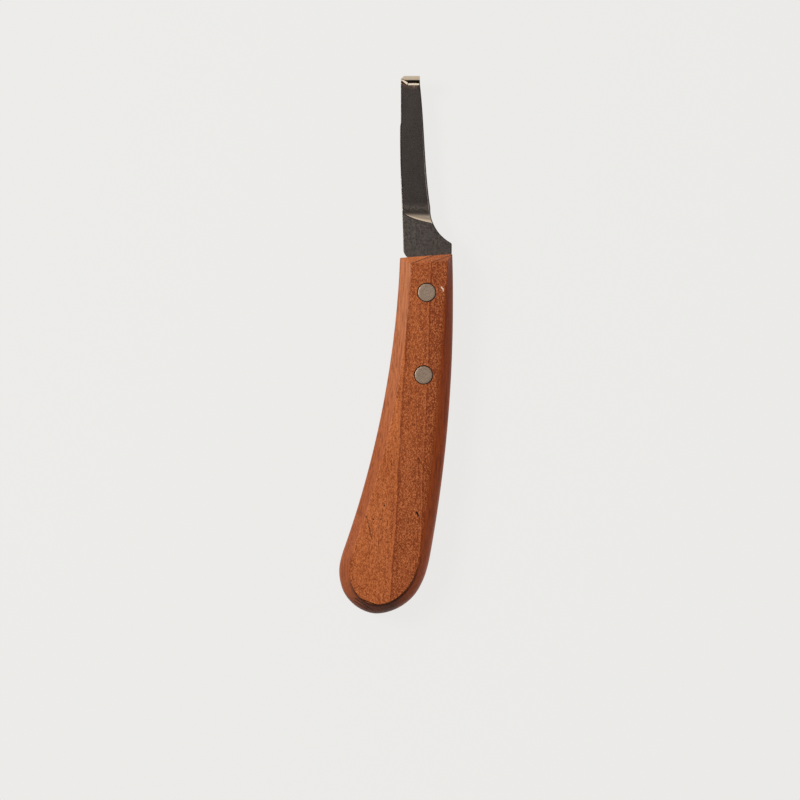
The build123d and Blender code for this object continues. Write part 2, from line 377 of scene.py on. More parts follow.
def corner_radii(body, rows, at_front):
    """How much the facet's outer and inner corner are rounded at each place of the outline."""
    rear = 1 - smoothstep(body[:, 1], *BUTT_WEAR_Y)
    on_round_side = smoothstep(np.arange(len(body)) - rows, *RIDGE_WEAR_ROWS) * ~at_front
    worn_ridge = on_round_side * (1 - smoothstep(body[:, 1], *RIDGE_WEAR_Y))
    outer = OUTER_ROUNDING + OUTER_RIDGE_WEAR * worn_ridge + BUTT_WEAR * rear
    inner = INNER_ROUNDING + INNER_RIDGE_WEAR * worn_ridge * (1 - INNER_LOSS_AT_BUTT * rear)
    return np.where(at_front, FRONT_ROUNDING, outer), np.where(at_front, FRONT_ROUNDING, inner)


def facet_section(width, outer_radius, inner_radius):
    """The facet's section as steps from the middle of the side to the flat face.

    Each step holds, for every place of the outline, how far it lies inwards and how far from the middle height.
    """
    zero = 0 * width
    half_height = HANDLE_TOP - MID_Z
    lean, slant = np.arctan2(width, FACET_DEPTH), np.hypot(width, FACET_DEPTH)
    outer_cut = np.minimum(outer_radius * np.tan(lean / 2), OUTER_CUT_LIMIT * slant)
    inner_cut = np.minimum(inner_radius * np.tan((math.pi / 2 - lean) / 2), INNER_CUT_LIMIT * slant)
    corner_low = np.stack([zero, half_height - FACET_DEPTH + zero], 1)
    corner_high = np.stack([width, half_height + zero], 1)
    along = (corner_high - corner_low) / slant[:, None]
    low_start = corner_low - np.stack([zero, outer_cut], 1)
    low_end = corner_low + along * outer_cut[:, None]
    high_start = corner_high - along * inner_cut[:, None]
    high_end = corner_high + np.stack([inner_cut, zero], 1)
    section = [low_start * share for share in SIDE_SHARES]
    section += bend(low_start, corner_low, low_end, OUTER_STEPS)
    section += [low_end + (high_start - low_end) * share for share in SLOPE_SHARES]
    return section + bend(high_start, corner_high, high_end, INNER_STEPS)


def facet_loops(body, inward, width, at_front, radii, side):
    """Loops from the handle's middle to one flat face; side is 1 for the upper one and -1 for the lower."""
    wave = wobble(body[:, 1] + 40 * side, FACET_WAVE_LENGTH, 0.7 + side)
    loops = []
    for step in facet_section(width + FACET_WAVE * wave * ~at_front, *radii):
        place = body + inward * (step[:, :1] + SANDING)
        loops.append(np.column_stack([place, MID_Z + side * step[:, 1]]))
    return loops


def flat_face(edge, rows, columns):
    """Rows of points across a flat face inside its edge, from the front end to the bottom of the butt."""
    left = edge[:rows]
    right = np.vstack([edge[2 * rows - 2 : rows - 1 : -1], edge[rows - 1]])
    front = np.vstack([edge[0], edge[: 2 * rows - 2 : -1], edge[2 * rows - 2]])
    even = np.linspace(0, 1, columns)
    as_front = np.linalg.norm(front - front[0], axis=1) / np.linalg.norm(front[-1] - front[0])
    grid = [front]
    for row in range(1, rows):
        ease = min(row / EASE_ROWS, 1.0)
        shares = as_front * (1 - ease) + even * ease
        grid.append(left[row] + (right[row] - left[row]) * shares[:, None])
    return np.vstack(grid)


def grid_faces(rows, columns, base):
    """Faces of a grid of points whose first one has the number base."""
    corners = [base + row * columns + column for row in range(rows - 1) for column in range(columns - 1)]
    return [(a, a + 1, a + columns + 1, a + columns) for a in corners]


def painted_crease_shade(body):
    """How much painted shade the facet's inner corner gets at each place: most round the butt and on its right
    side.
    """
    x, y = body.T
    at_butt = 1 - smoothstep(y, *BUTT_SHADE_Y)
    on_right = RIGHT_SHADE * (1 - smoothstep(y, *RIGHT_SHADE_Y)) * smoothstep(x, *RIGHT_SHADE_X)
    return np.maximum(at_butt, on_right)


def kerf_saw():
    """The disc that a round saw takes out at the middle of the handle's height."""
    half = BLADE_THICKNESS / 2 + KERF_CLEARANCE
    low, high = MID_Z - half, MID_Z + half
    return lathe("saw", [(0, low), (SAW_RADIUS, low), (SAW_RADIUS, high), (0, high)], SAW_CENTRE, 360)


def make_handle():
    body, rows, columns = rim(BODY_HOLLOW_SIDE, BODY_BUTT_LEFT, BODY_ROUND_SIDE, BODY_BUTT_RIGHT)
    flat, _, _ = rim(FLAT_HOLLOW_SIDE, FLAT_BUTT_LEFT, FLAT_ROUND_SIDE, FLAT_BUTT_RIGHT)
    corners = (0, 2 * rows - 2)
    body, flat = soften_corners(body, corners), soften_corners(flat, corners)
    at_front = np.arange(len(body)) > corners[1]
    width = np.linalg.norm(flat - body, axis=1)
    inward = (flat - body) / width[:, None]
    radii = corner_radii(body, rows, at_front)
    lower, upper = (facet_loops(body, inward, width, at_front, radii, side) for side in (-1, 1))
    loops = lower[:0:-1] + upper
    points = np.vstack(loops)
    faces = skin(len(loops), len(body))
    for edge in (loops[0], loops[-1]):
        faces += grid_faces(rows, columns, len(points))
        points = np.vstack([points, flat_face(edge, rows, columns)])
    painted_shade = painted_crease_shade(body)
    crease = np.concatenate([share * painted_shade for share in CREASE_SHADE_BY_STEP[:0:-1] + CREASE_SHADE_BY_STEP])
    crease = np.pad(crease, (0, len(points) - len(crease)))
    handle = build_mesh("handle_wood", points, faces, {"crease": crease})
    cutters = [kerf_saw()]
    cutters += [lathe("seat", seat_profile(), rivet_centre(place), 96) for place in RIVETS]
    cut_away(handle, cutters)
    shade(handle, HANDLE_SHARP)
    return handle


# ---- rivets


def rivet_centre(place):
    low, high = box_mm(f"{place}_rivet_stud")
    return (low[0] + high[0]) / 2, (low[1] + high[1]) / 2


def seat_profile():
    """The rivet's hole in the wood: a bore, and at each face a counterbore with a slightly worn lip."""
    seat = HANDLE_TOP - (HEAD_RECESS + HEAD_THICKNESS)
    upper = [
        (WOOD_HOLE_RADIUS, seat),
        (SEAT_RADIUS, seat),
        (SEAT_RADIUS, HANDLE_TOP - SEAT_LIP),
        (SEAT_RADIUS + SEAT_LIP + SEAT_OVERCUT, HANDLE_TOP + SEAT_OVERCUT),
        (0, HANDLE_TOP + SEAT_OVERCUT),
    ]
    lower = [(radius, FLOOR_Z + HANDLE_TOP - height) for radius, height in reversed(upper)]
    return lower + upper


def head_profile(top, side):
    """A nearly flat rivet head from its middle to its rounded rim; side is 1 upwards and -1 downwards."""
    dished = [(0, HEAD_DISH), (1.2, HEAD_DISH * 0.9), (2.4, HEAD_DISH * 0.3)]
    profile = [(radius, top - side * depth) for radius, depth in dished]
    for k in range(HEAD_ROUND_STEPS + 1):
        angle = math.pi / 2 * k / HEAD_ROUND_STEPS
        radius = HEAD_RADIUS - HEAD_ROUNDING + HEAD_ROUNDING * math.sin(angle)
        profile.append((radius, top - side * (HEAD_ROUNDING - HEAD_ROUNDING * math.cos(angle))))
    return profile


def make_stud(place):
    """The upper half of a rivet: its head and its shank."""
    (_, _, bottom), (_, _, top) = box_mm(f"{place}_rivet_stud")
    profile = head_profile(top, 1) + [
        (HEAD_RADIUS, top - HEAD_THICKNESS),
        (SHANK_RADIUS, top - HEAD_THICKNESS),
        (SHANK_RADIUS, bottom + SHANK_CHAMFER),
        (SHANK_RADIUS - SHANK_CHAMFER, bottom),
        (0, bottom),
    ]
    return lathe(f"{place}_rivet_stud_metal", profile, rivet_centre(place))


def make_sleeve(place):
    """The lower half of a rivet: its head and the tube that holds the shank."""
    (_, _, bottom), (_, _, top) = box_mm(f"{place}_rivet_sleeve")
    bore = SHANK_RADIUS + SLEEVE_CLEARANCE
    profile = head_profile(bottom, -1) + [
        (HEAD_RADIUS, bottom + HEAD_THICKNESS),
        (SLEEVE_RADIUS, bottom + HEAD_THICKNESS),
        (SLEEVE_RADIUS, top),
        (bore, top),
        (bore, top - SLEEVE_BORE_DEPTH),
        (0, top - SLEEVE_BORE_DEPTH),
    ]
    return lathe(f"{place}_rivet_sleeve_metal", profile, rivet_centre(place))


def make_rivet(place):
    halves = make_stud(place), make_sleeve(place)
    for piece in halves:
        shade(piece, RIVET_SHARP)
    return halves


# ---- blade


def on_circle(points, y, side):
    """X of a circle through three points at each y; side is -1 for its left half and 1 for its right."""
    (cx, cy), radius = circle_through(*points)
    return cx + side * np.sqrt(np.clip(radius**2 - (y - cy) ** 2, 0, None))


def through_points(points, y):
    """X of the smooth curve through four (x, y) points at each y."""
    x, at = np.array(points).T
    return np.polyval(np.polyfit(at, x, len(x) - 1), y)


def left_x(y):
    """The spine side of the blade and the tang, seen from above."""
    heel_x, heel_y = SPINE_CURVE[0]
    drop = np.clip(heel_y - y, 0, SHOULDER_RADIUS)
    heel = heel_x + SHOULDER_RADIUS - np.sqrt(SHOULDER_RADIUS**2 - drop**2)
    step_x, step_y = np.array(SPINE_STEP).T
    spine = np.where(y > step_y[0], np.interp(y, step_y, step_x), through_points(SPINE_CURVE, y))
    side = np.where(y < heel_y, np.minimum(heel, TANG_LEFT_X), spine)
    return np.where(y < TANG_END[0][1], on_circle(TANG_END, y, -1), side)


def right_x(y):
    """The cutting edge, the hollow behind it, the ricasso and the tang's right side, seen from above."""
    tang = [TANG_END[2], TANG_WAIST, CHOIL[2]]
    waist = np.interp(y, [p[1] for p in tang], [p[0] for p in tang])
    hollow = on_circle(CHOIL, y, -1)
    blend = np.clip(0.5 + 0.5 * (waist - hollow) / CHOIL_HEEL_BLEND, 0, 1)
    behind = waist * (1 - blend) + hollow * blend - CHOIL_HEEL_BLEND * blend * (1 - blend)
    side = np.where(y > CHOIL[0][1], through_points(EDGE_CURVE, y), behind)
    return np.where(y < TANG_END[2][1], on_circle(TANG_END, y, 1), side)


def grinding(y):
    """How far each y is from the plunge to the hook, and how high the wheel lifts there."""
    run = np.clip((y - PLUNGE_Y) / (HOOK_Y - PLUNGE_Y), 0, 1)
    behind = np.clip(PLUNGE_Y - y, 0, WHEEL_RADIUS)
    beyond = np.clip(PLUNGE_Y - WHEEL_RADIUS - y, 0, 1) * WHEEL_RADIUS
    return run, WHEEL_RADIUS - np.sqrt(WHEEL_RADIUS**2 - behind**2) + beyond


def ground_face(x, y):
    """Thickness left under the wide ground face."""
    run, lift = grinding(y)
    angle = math.radians(PLUNGE_SLOPE)
    at_plunge = PLUNGE_SPINE[1] - (x - PLUNGE_SPINE[0]) * math.tan(angle) + lift / math.cos(angle)
    at_tip = TIP_SPINE_THICKNESS - (x - SPINE_TIP_X) * math.tan(math.radians(TIP_SLOPE))
    return at_plunge * (1 - run) + at_tip * run


def bevel_face(x, y):
    """Thickness left under the narrow bevel along the cutting edge."""
    run, lift = grinding(y)
    width = BEVEL_WIDTH[0] * (1 - run) + BEVEL_WIDTH[1] * run
    edge = right_x(np.maximum(y, PLUNGE_Y))
    top = ground_face(edge - width, np.maximum(y, PLUNGE_Y))
    slope = (top - EDGE_THICKNESS) / width
    return EDGE_THICKNESS + (edge - x) * slope + lift * np.sqrt(1 + slope**2)


def thickness(x, y):
    """Thickness of the blade at each place."""
    return np.minimum(np.minimum(ground_face(x, y), bevel_face(x, y)), BLADE_THICKNESS)


def bisect(goes_on, low, high, steps):
    """Where goes_on(place) stops being true between low and high, for each of their elements."""
    for _ in range(steps):
        middle = (low + high) / 2
        onward = goes_on(middle)
        low, high = np.where(onward, middle, low), np.where(onward, high, middle)
    return (low + high) / 2


def crease_x(y):
    """Where the wide ground face meets the bevel."""
    left, right = left_x(y), right_x(y)
    start = left + 0.8 * (right - left) - 3.0  # safely on the wide face
    crease = bisect(lambda x: bevel_face(x, y) > ground_face(x, y), start, right, 30)
    return np.clip(crease, left + CREASE_MARGINS[0], right - CREASE_MARGINS[1])


def columns():
    """Places across the blade: 0 is the spine, 1 the crease and 2 the edge."""
    t = np.linspace(0, 1, FACE_COLUMNS)
    face = 0.6 * t + 0.4 * (0.5 - 0.5 * np.cos(math.pi * t))
    return np.concatenate([face, 1 + np.linspace(0, 1, BEVEL_COLUMNS)[1:]])


def x_at(column, y):
    """X of a place across the blade at each y."""
    left, crease, right = left_x(y), crease_x(y), right_x(y)
    return np.where(column < 1, left + (crease - left) * column, crease + (right - crease) * (column - 1))


def run_out(column):
    """Y at which the wheel's hollow reaches the ricasso's face, for each column."""
    low, high = np.full_like(column, CHOIL[1][1] - 0.2), np.full_like(column, PLUNGE_Y)
    return bisect(lambda y: thickness(x_at(column, y), y) >= BLADE_THICKNESS - 1e-9, low, high, 40)


def ring(column, y):
    """One closed section through the blade, with its long corners rounded.

    Its points are (x, y, height above the back), from the spine over the face to the edge and back underneath.
    """
    y = np.broadcast_to(y, column.shape)
    x = x_at(column, y)
    left, right = x[0], x[-1]
    width = right - left
    depth_left, depth_right = thickness(left, y[0]), thickness(right, y[-1])
    of_depth, of_width = ROUNDING_LIMITS
    r_left = min(EDGE_ROUNDING, of_depth * depth_left, of_width * width)
    r_right = min(EDGE_ROUNDING, of_depth * depth_right, of_width * width)
    inner = left + r_left + (x - left) * (1 - (r_left + r_right) / max(width, 1e-6))
    turn = np.linspace(0, math.pi / 2, ROUND_STEPS)
    rows = []
    for a in turn:
        rows.append((left + r_left * (1 - math.sin(a)), y[0], r_left * (1 - math.cos(a))))
    for a in turn:
        at = left + r_left * (1 - math.cos(a))
        rows.append((at, y[0], thickness(left + r_left, y[0]) - r_left * (1 - math.sin(a))))
    for k in range(1, len(column) - 1):
        rows.append((inner[k], y[k], thickness(inner[k], y[k])))
    for a in turn:
        at = right - r_right * (1 - math.sin(a))
        rows.append((at, y[-1], thickness(right - r_right, y[-1]) - r_right * (1 - math.cos(a))))
    for a in turn:
        rows.append((right - r_right * (1 - math.cos(a)), y[-1], r_right * (1 - math.sin(a))))
    for k in range(len(column) - 2, 0, -1):
        rows.append((inner[k], y[k], 0.0))
    return np.array(rows, float)


def cut_corners(points, section_x):
    """Moves a section's points along X so that they stay inside the two clipped corners of the hook."""
    x, y, z = points.T
    left, right = section_x
    limit = SPINE_TIP_X + ROLL_CORNER[0] * (1 - (TIP_Y - y) / ROLL_CORNER[1])
    arm_limit = SPINE_TIP_X + HOOK_CORNER[0] * (1 - (y - ARM_END) / HOOK_CORNER[1])
    limit = np.maximum(limit, np.where(z > HOOK_Z, arm_limit, left))
    limit = np.clip(limit, left, right - 1)
    return limit + (x - left) * (right - limit) / (right - left)


def sharpen(points):
    """Grinds the outer side of the hook down towards its lip and its clipped corner."""
    x, y, z = points.T
    to_lip = y - ARM_END
    corner = HOOK_CORNER[0] * (1 - (y - ARM_END) / HOOK_CORNER[1])
    to_corner = (x - SPINE_TIP_X - corner) * math.cos(math.atan2(HOOK_CORNER[0], HOOK_CORNER[1]))
    inside = np.clip(np.minimum(to_lip, to_corner), 0, LIP_BEVEL[0])
    ceiling = HOOK_Z + HOOK_RADIUS - LIP_BEVEL[1] * (1 - inside / LIP_BEVEL[0])
    return np.column_stack([x, y, np.minimum(z, ceiling)])


def hook_section(section, y_of, z_of):
    """Places a flat section of the blade in the hook; y_of and z_of take the height above the blade's back."""
    sides = section[:, 0].min(), section[:, 0].max()
    x, height = section[:, 0], section[:, 2]
    for _ in range(3):
        x = cut_corners(np.column_stack([section[:, 0], y_of(height), z_of(height)]), sides)
        thinner = (x - section[:, 0]) * math.tan(math.radians(TIP_SLOPE))
        height = np.where(section[:, 2] > 0.4, section[:, 2] - thinner, section[:, 2])
    return sharpen(np.column_stack([x, y_of(height), z_of(height)]))


def rolled(section, angle):
    """A section of the blade bent up into the hook by an angle in radians."""
    return hook_section(
        section,
        lambda height: HOOK_Y + (HOOK_RADIUS - height) * math.sin(angle),
        lambda height: HOOK_Z - (HOOK_RADIUS - height) * math.cos(angle),
    )


def turned_over(section, y):
    """A section of the blade upside down, in the straight end of the hook."""
    return hook_section(
        section,
        lambda height: y + 0 * height,
        lambda height: HOOK_Z + HOOK_RADIUS - height,
    )


def blade_sections(column, shoulder):
    """Closed sections of the flat blade, from the tang's end to the start of the hook."""
    places = [TANG_END[1][1] + step for step in TANG_TIP_STEPS]
    places += list(np.linspace(TANG_SIDE_Y, RICASSO_Y, TANG_ROWS))
    for share in np.linspace(0, 1, RICASSO_ROWS)[1:]:
        places.append(RICASSO_Y * (1 - share) + shoulder * share)
    for share in np.linspace(0, 1, PLUNGE_ROWS)[1:] ** PLUNGE_CROWDING:
        places.append(shoulder * (1 - share) + PAST_PLUNGE_Y * share)
    places += list(np.linspace(PAST_PLUNGE_Y, HOOK_Y, BLADE_ROWS)[1:])
    return [ring(column, y) for y in places]


def end_faces(base, size, column_count):
    """Faces between the upper and the lower side of the blade at one of its ends."""
    first = base + 2 * ROUND_STEPS
    last = first + column_count - 3
    top = base + 4 * ROUND_STEPS + column_count - 2
    faces = [(*range(base, first + 1), base + size - 1)]
    for k in range(column_count - 3):
        upper, under = first + k, base + size - 1 - k
        faces.append((upper, upper + 1, under - 1, under))
    return faces + [tuple(range(last, top + 1))]


def blade_marks(points, column, shoulder):
    """Where the steel is polished and where it is dark, from 0 to 1 at each point: dark for its rolling scale,
    and for painted shade at the wheel mark.
    """
    x, y, z = points.T
    line = np.interp(x, x_at(column, shoulder), shoulder)
    below, up_hollow = line - y, (y - line) / (HOLLOW_FADE_Y - line)
    upper = z > BACK_Z + 0.3

    hollow = smoothstep(up_hollow, 0.0, 0.03) * (1 - smoothstep(up_hollow, 0.35, 1.0)) * upper
    over_the_blade = (y > ARM_END - 0.01) * (z > HOOK_Z)
    in_hook = smoothstep(y, HOOK_Y - 0.3, HOOK_Y + 0.1) + over_the_blade
    polish = np.clip(hollow + in_hook, 0, 1)

    to_side = np.minimum(x - left_x(y), right_x(y) - x)
    on_edges = 1 - smoothstep(to_side, 1.3 * EDGE_ROUNDING, 2.8 * EDGE_ROUNDING)
    edges = EDGE_SCALE * on_edges * (1 - smoothstep(y, *EDGE_SCALE_Y))
    # Painted shade: a dark line just behind the wheel mark's line, where its ridge lies in shade
    shadow = SHOULDER_SHADE * smoothstep(below, 0.0, 0.08) * (1 - smoothstep(below, 0.2, 0.45))
    forged = FORGED_SCALE * (below > 0)
    # Painted shade in the wheel mark, growing away from its line, where the hollow's reflection dims towards
    # the flat
    first, second = HOLLOW_SHADE
    faded = first * smoothstep(up_hollow, 0.1, 0.35) + second * smoothstep(up_hollow, 0.6, 0.9)
    faded = faded * (1 - smoothstep(y, HOLLOW_FADE_Y, PLUNGE_Y + 0.4))
    scale = np.maximum(edges, np.maximum(np.maximum(shadow, forged), faded) * upper)
    return {"polish": polish, "scale": scale}


def make_blade():
    column = columns()
    shoulder = run_out(column)
    sections = blade_sections(column, shoulder)
    flat = sections[-1]
    loops = [section + [0, 0, BACK_Z] for section in sections]
    loops += [rolled(flat, angle) for angle in np.linspace(0, math.pi, ROLL_ROWS)[1:]]
    loops += [turned_over(flat, y) for y in np.linspace(HOOK_Y, ARM_END, ARM_ROWS)[1:]]
    size = len(flat)
    faces = skin(len(loops), size)
    for base in (0, (len(loops) - 1) * size):
        faces += end_faces(base, size, len(column))
    points = np.vstack(loops)
    blade = build_mesh("blade_steel_body", points, faces, blade_marks(points, column, shoulder))

    low, high = BACK_Z - 1, FACE_Z + 1
    profile = [(0, low), (TANG_HOLE_RADIUS, low), (TANG_HOLE_RADIUS, high), (0, high)]
    cut_away(blade, [lathe("hole", profile, rivet_centre(place), 64) for place in RIVETS])
    shade(blade, BLADE_SHARP)
    return blade


# ---- materials


class Nodes:
    """Short calls for the shader nodes used here. A value is a number, a tuple or another node's output."""

    def __init__(self, tree):
        self.tree = tree

    def put(self, value, socket):
        if isinstance(value, bpy.types.NodeSocket):
            self.tree.links.new(value, socket)
        else:
            socket.default_value = value

    def math(self, operation, *values, clamp=False):
        node = self.tree.nodes.new("ShaderNodeMath")
        node.operation = operation
        node.use_clamp = clamp
        for value, socket in zip(values, node.inputs):
            self.put(value, socket)
        return node.outputs[0]

    def plus(self, first, second):
        return self.math("ADD", first, second)

    def minus(self, first, second):
        return self.math("SUBTRACT", first, second)

    def times(self, first, second):
        return self.math("MULTIPLY", first, second)

    def vector(self, operation, *values, scale=None, output=0):
        node = self.tree.nodes.new("ShaderNodeVectorMath")
        node.operation = operation
        for value, socket in zip(values, node.inputs):
            self.put(value, socket)
        if scale is not None:
            self.put(scale, node.inputs["Scale"])
        return node.outputs[output]

    def split(self, vector):
        node = self.tree.nodes.new("ShaderNodeSeparateXYZ")
        self.put(vector, node.inputs[0])
        return node.outputs

    def join(self, x, y, z):
        node = self.tree.nodes.new("ShaderNodeCombineXYZ")
        for value, socket in zip((x, y, z), node.inputs):
            self.put(value, socket)
        return node.outputs[0]

    def noise(self, place, detail=3.0, roughness=0.5):
        node = self.tree.nodes.new("ShaderNodeTexNoise")
        self.put(place, node.inputs["Vector"])
        node.inputs["Scale"].default_value = 1.0
        node.inputs["Detail"].default_value = detail
        node.inputs["Roughness"].default_value = roughness
        return node.outputs["Fac"]

    def ramp(self, value, low, high, to_low=0.0, to_high=1.0, smooth=True):
        """Takes low..high to to_low..to_high."""
        node = self.tree.nodes.new("ShaderNodeMapRange")
        node.interpolation_type = "SMOOTHSTEP" if smooth else "LINEAR"
        for item, socket in zip((value, low, high, to_low, to_high), node.inputs):
            self.put(item, socket)
        return node.outputs[0]

    def mix(self, factor, first, second):
        """The first colour, with a share of the second."""
        node = self.tree.nodes.new("ShaderNodeMix")
        node.data_type = "RGBA"
        self.put(factor, node.inputs[0])
        for color, socket in ((first, node.inputs[6]), (second, node.inputs[7])):
            self.put((*color, 1.0) if isinstance(color, tuple) else color, socket)
        return node.outputs[2]


class Shader(Nodes):
    """A material built on the Principled shader. Places in it are in millimetres."""

    def __init__(self, name):
        self.material = bpy.data.materials.new(name)
        self.material.use_nodes = True
        super().__init__(self.material.node_tree)
        self.surface = self.tree.nodes["Principled BSDF"]
        place = self.tree.nodes.new("ShaderNodeTexCoord")
        self.place = self.vector("SCALE", place.outputs["Object"], scale=1 / MM)
        self.facing = place.outputs["Normal"]
        self.x, self.y, self.z = self.split(self.place)

    def set(self, name, value):
        self.put(value, self.surface.inputs[name])

    def stretch(self, factors, shift=(0, 0, 0), place=None):
        scaled = self.vector("MULTIPLY", place or self.place, factors)
        return self.vector("ADD", scaled, shift)

    def value(self, name):
        """A number that the mesh carries at each of its points."""
        node = self.tree.nodes.new("ShaderNodeAttribute")
        node.attribute_name = name
        return node.outputs["Fac"]

    def bump(self, height, distance, strength):
        node = self.tree.nodes.new("ShaderNodeBump")
        self.put(height, node.inputs["Height"])
        node.inputs["Distance"].default_value = distance
        node.inputs["Strength"].default_value = strength
        self.set("Normal", node.outputs[0])


def linear(red, green, blue):
    """A colour given as screen values from 0 to 255, as scene-linear numbers."""
    shares = (red / 255, green / 255, blue / 255)
    return tuple(c / 12.92 if c < 0.04045 else ((c + 0.055) / 1.055) ** 2.4 for c in shares)


# Two growth-ring lines on the handle's upper face: X at Y = 0, and how X grows with Y
RING_LEFT = (-7.6, 0.060)
RING_RIGHT = (1.2, 0.041)
RING_TILT = 2.0  # the rings lie back into the wood: X moves by this much for each millimetre of depth

# Wear on the upper face, and a painted glint: both ends of each mark and its half width
SCRATCHES = [
    ((-2.7, -48.0), (-0.4, -52.3), 0.16),
    ((-22.7, -70.7), (-20.7, -79.3), 0.22),
    ((-10.6, -81.2), (-8.2, -84.0), 0.14),
]
PITS = [
    ((-3.3, -69.2), (-2.7, -70.4), 0.42),
    ((-13.1, -50.5), (-13.0, -50.6), 0.26),
    ((-15.8, -66.5), (-15.9, -66.7), 0.28),
    ((-17.2, -71.8), (-17.1, -71.9), 0.26),
    ((-20.0, -71.8), (-19.9, -72.0), 0.22),
    ((-27.2, -102.6), (-20.3, -107.2), 0.22),
    ((-27.4, -103.8), (-21.9, -107.1), 0.16),
    ((-25.4, -102.6), (-18.9, -105.0), 0.2),
]
# A painted glint: a tiny near-white spot that stands for light caught in the finish
PAINTED_GLINT_SPOTS = [((6.3, 18.0), (6.9, 17.3), 0.3), ((6.9, 17.3), (7.0, 16.6), 0.2)]

# Colours of the stained wood and of its marks, and of the light and shade painted on it
WOOD_PALE, WOOD_MID, WOOD_DARK = linear(190, 106, 57), linear(175, 93, 46), linear(108, 40, 15)
FLECK, GLINT, STREAK = linear(100, 42, 16), linear(208, 126, 76), linear(92, 38, 18)
# The butt's colour is partly end grain and partly painted shade
END_LINE, END_GRAIN, BUTT_GRAIN_AND_SHADE = linear(84, 36, 16), linear(205, 150, 112), linear(60, 18, 7)
# Painted light and shade on the handle's sides: a paler sheen on the left, a deeper red on the right, both
# changing towards the butt
LEFT_PAINTED_SHEEN, LEFT_SHADE_TO_BUTT = linear(158, 108, 78), linear(112, 52, 22)
RIGHT_SHADED_RED, RIGHT_LIGHT_TO_BUTT = linear(178, 66, 18), linear(227, 113, 42)
# The near-white spot colour is a painted glint, and the crease colour is painted shade
SCRATCH, PIT, PAINTED_GLINT_WHITE, CREASE_SHADE = linear(60, 28, 18), linear(26, 14, 10), linear(232, 214, 196), linear(40, 18, 12)


def strokes(s, marks):
    """1 along each of the short straight marks, seen from above, and 0 elsewhere."""
    place = s.join(s.x, s.y, 0.0)
    total = 0.0
    for start, end, half_width in marks:
        run = Vector((end[0] - start[0], end[1] - start[1], 0))
        from_start = s.vector("SUBTRACT", place, (*start, 0))
        along = s.vector("DOT_PRODUCT", from_start, tuple(run), output="Value")
        share = s.math("DIVIDE", along, run.length_squared, clamp=True)
        aside = s.vector("SUBTRACT", from_start, s.vector("SCALE", tuple(run), scale=share))
        away = s.vector("LENGTH", aside, output="Value")
        total = s.math("MAXIMUM", total, s.ramp(away, 0.4 * half_width, 1.3 * half_width, 1.0, 0.0))
    return total


def rings_across(s, wander):
    """How many rings to the right of the left line each place lies, less than 0 to the left of it."""
    depth = s.minus(HANDLE_TOP, s.z)
    x_flat = s.plus(s.minus(s.x, s.times(depth, RING_TILT)), wander)
    left, right = (s.plus(s.times(s.y, slope), start) for start, slope in (RING_LEFT, RING_RIGHT))
    share = s.math("DIVIDE", s.minus(x_flat, left), s.minus(right, left))
    # The ring to the left of the two lines is the widest
    beyond_left = s.math("MAXIMUM", s.times(share, -1.0), 0.0)
    return s.minus(s.math("MAXIMUM", share, 0.0), s.times(beyond_left, 0.6))


def growth_rings(s, jagged):
    """How dark the late wood is, the rings' lines on the faces and on the end, the pale wood just before each
    line, and how dark the board is across its width."""
    drift = s.noise(s.stretch((0.02, 0.03, 0.02), (3, 8, 2)), 2.0)
    share = rings_across(s, s.plus(s.times(s.minus(drift, 0.5), 3.0), s.times(s.minus(jagged, 0.5), 0.9)))
    phase = s.math("FRACT", share)
    after_line = s.times(s.ramp(phase, 0.02, 0.5, 1.0, 0.45), s.ramp(phase, 0.0, 0.025))
    wide_ring = s.times(s.ramp(share, -1.05, -1.0), s.ramp(share, -0.02, 0.0, 1.0, 0.0))
    late = s.times(after_line, s.minus(1.0, s.times(wide_ring, 0.85)))
    line = s.times(s.ramp(phase, 0.0, 0.02), s.ramp(phase, 0.05, 0.11, 1.0, 0.0))
    end_line = s.times(s.ramp(phase, 0.0, 0.03), s.ramp(phase, 0.12, 0.2, 1.0, 0.0))
    before_line = s.ramp(phase, 0.94, 0.985)
    # Towards the butt the wood darkens farther to the left
    across_board = s.ramp(share, s.ramp(s.y, -75.0, -30.0, -0.7, -0.1), 1.45)
    return late, line, end_line, before_line, across_board


def dashes(s, angle, shift):
    """Short soft dashes that lie at an angle in degrees to the handle's length."""
    across, along = math.cos(math.radians(angle)), math.sin(math.radians(angle))
    u = s.plus(s.times(s.x, across), s.times(s.y, along))
    v = s.minus(s.times(s.y, across), s.times(s.x, along))
    return s.noise(s.stretch((3.5, 1.3, 2.6), shift, s.join(u, v, s.z)), 2.0, 0.55)


def flecks(s, grain_seen):
    """Dark flecks and light glints, both made of dashes that lean left and dashes that lean right."""
    lean_left, lean_right = dashes(s, 28, (4, 1, 7)), dashes(s, -34, (9, 5, 2))
    dark = s.ramp(s.math("MINIMUM", lean_left, lean_right), 0.34, 0.46, 1.0, 0.0)
    light = s.ramp(s.math("MAXIMUM", lean_left, lean_right), 0.54, 0.66)
    return s.times(dark, grain_seen), s.times(light, grain_seen)


def face_marks(s, jagged):
    """Scratches and pits on the upper face, and a painted glint: a small near-white spot that stands for light
    caught in the finish.
    """
    on_top = s.ramp(s.z, MID_Z + 2, MID_Z + 3)
    broken = s.times(on_top, s.ramp(jagged, 0.42, 0.55, 0.35, 1.0))
    scratch, pit, glint_spot = (strokes(s, marks) for marks in (SCRATCHES, PITS, PAINTED_GLINT_SPOTS))
    return s.times(scratch, broken), s.times(pit, on_top), s.times(glint_spot, on_top)


